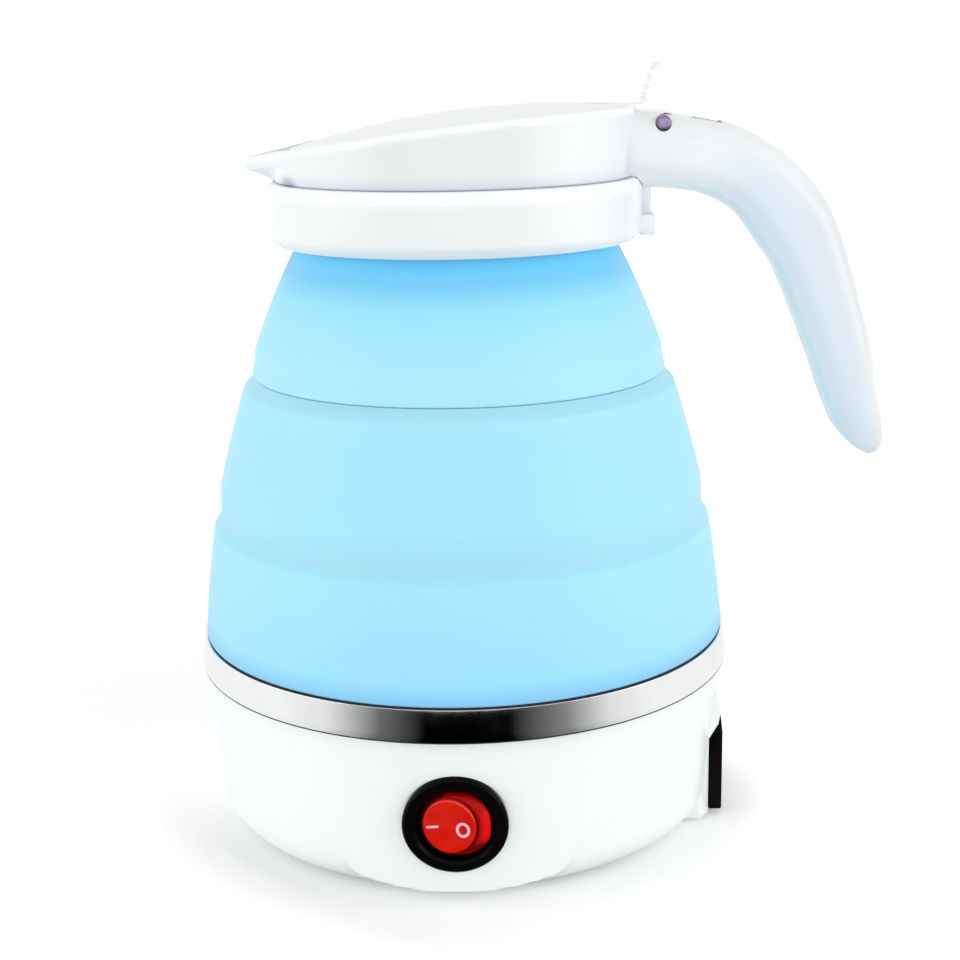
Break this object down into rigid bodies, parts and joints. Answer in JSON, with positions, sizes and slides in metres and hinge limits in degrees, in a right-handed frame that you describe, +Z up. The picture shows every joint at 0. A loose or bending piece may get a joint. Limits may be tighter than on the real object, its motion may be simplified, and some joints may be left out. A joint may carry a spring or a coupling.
{
  "type": "collapsible travel kettle",
  "caption": "Collapsible electric travel kettle: tiered silicone body that folds down on a round heated base, hinged lid with thumb tab, spout, curved handle, rocker switch and mains inlet.",
  "frame": {"origin": "on the kettle's vertical axis, at the level of the table it stands on", "axes": "+Z up along the kettle's axis, -Y towards the rocker switch, +X towards the handle and the mains inlet, -X towards the spout"},
  "size_m": [0.1629, 0.1273, 0.1768],
  "materials": {
    "white_plastic": "glossy white moulded plastic",
    "silicone": "satin sky blue silicone",
    "chrome": "polished",
    "steel": "satin stainless steel",
    "aluminium": "cast, matte",
    "brass": "plain",
    "black_plastic": "satin black moulded plastic",
    "foot_rubber": "matte dark rubber",
    "red_plastic": "glossy translucent red",
    "wire_covering": "matte soft covering"
  },
  "bodies": {
    "base": {"base_housing": "white_plastic", "cover_screw_1": "steel", "cover_screw_2": "steel", "cover_screw_3": "steel", "foot_1": "foot_rubber", "foot_2": "foot_rubber", "foot_3": "foot_rubber", "foot_4": "foot_rubber", "bottom_cover": "white_plastic", "trim_ring": "chrome", "pan_nut_1": "steel", "pan_nut_2": "steel", "pan_nut_3": "steel", "heating_pan": "steel", "pan_retainer": "steel", "heat_spreader": "aluminium", "heating_tube": "steel", "heating_tube_pin_1": "brass", "heating_tube_pin_2": "brass", "thermostat": "black_plastic", "thermal_fuse": "steel", "switch_body": "black_plastic", "switch_blade_1": "brass", "switch_blade_2": "brass", "switch_blade_3": "brass", "inlet_pin_live": "brass", "inlet_pin_neutral": "brass", "inlet_pin_earth": "brass", "inlet_body": "black_plastic", "wire_live": "wire_covering", "wire_switched": "wire_covering", "wire_neutral": "wire_covering", "wire_earth": "wire_covering", "tier_lower": "silicone", "fold_lower": "silicone"},
    "mid": {"tier_middle": "silicone", "fold_upper": "silicone"},
    "top": {"tier_upper": "silicone", "collar": "white_plastic", "top_housing": "white_plastic", "handle_screw_1": "steel", "handle_screw_2": "steel", "handle_shell": "white_plastic", "handle_cover": "white_plastic", "hinge_pin": "steel"},
    "lid": {"lid": "white_plastic"},
    "rocker": {"rocker": "red_plastic"}
  },
  "joints": [
    {"name": "lower_fold", "type": "slide", "parent": "base", "child": "mid", "axis": [0, 0, -1], "range_m": [0, 0.0355], "deforming": ["fold_lower"]},
    {"name": "upper_fold", "type": "slide", "parent": "mid", "child": "top", "axis": [0, 0, -1], "range_m": [0, 0.0355], "deforming": ["fold_upper"]},
    {"name": "lid_hinge", "type": "hinge", "parent": "top", "child": "lid", "pos_m": [0.0478, 0, 0.1636], "axis": [0, 1, 0], "range_deg": [0, 60]},
    {"name": "rocker_rock", "type": "hinge", "parent": "base", "child": "rocker", "pos_m": [0, -0.0596, 0.0196], "axis": [0, 0, 1], "range_deg": [0, 22]}
  ],
  "couplings": [
    {"joint": "upper_fold", "follows": "lower_fold", "ratio": 1}
  ]
}
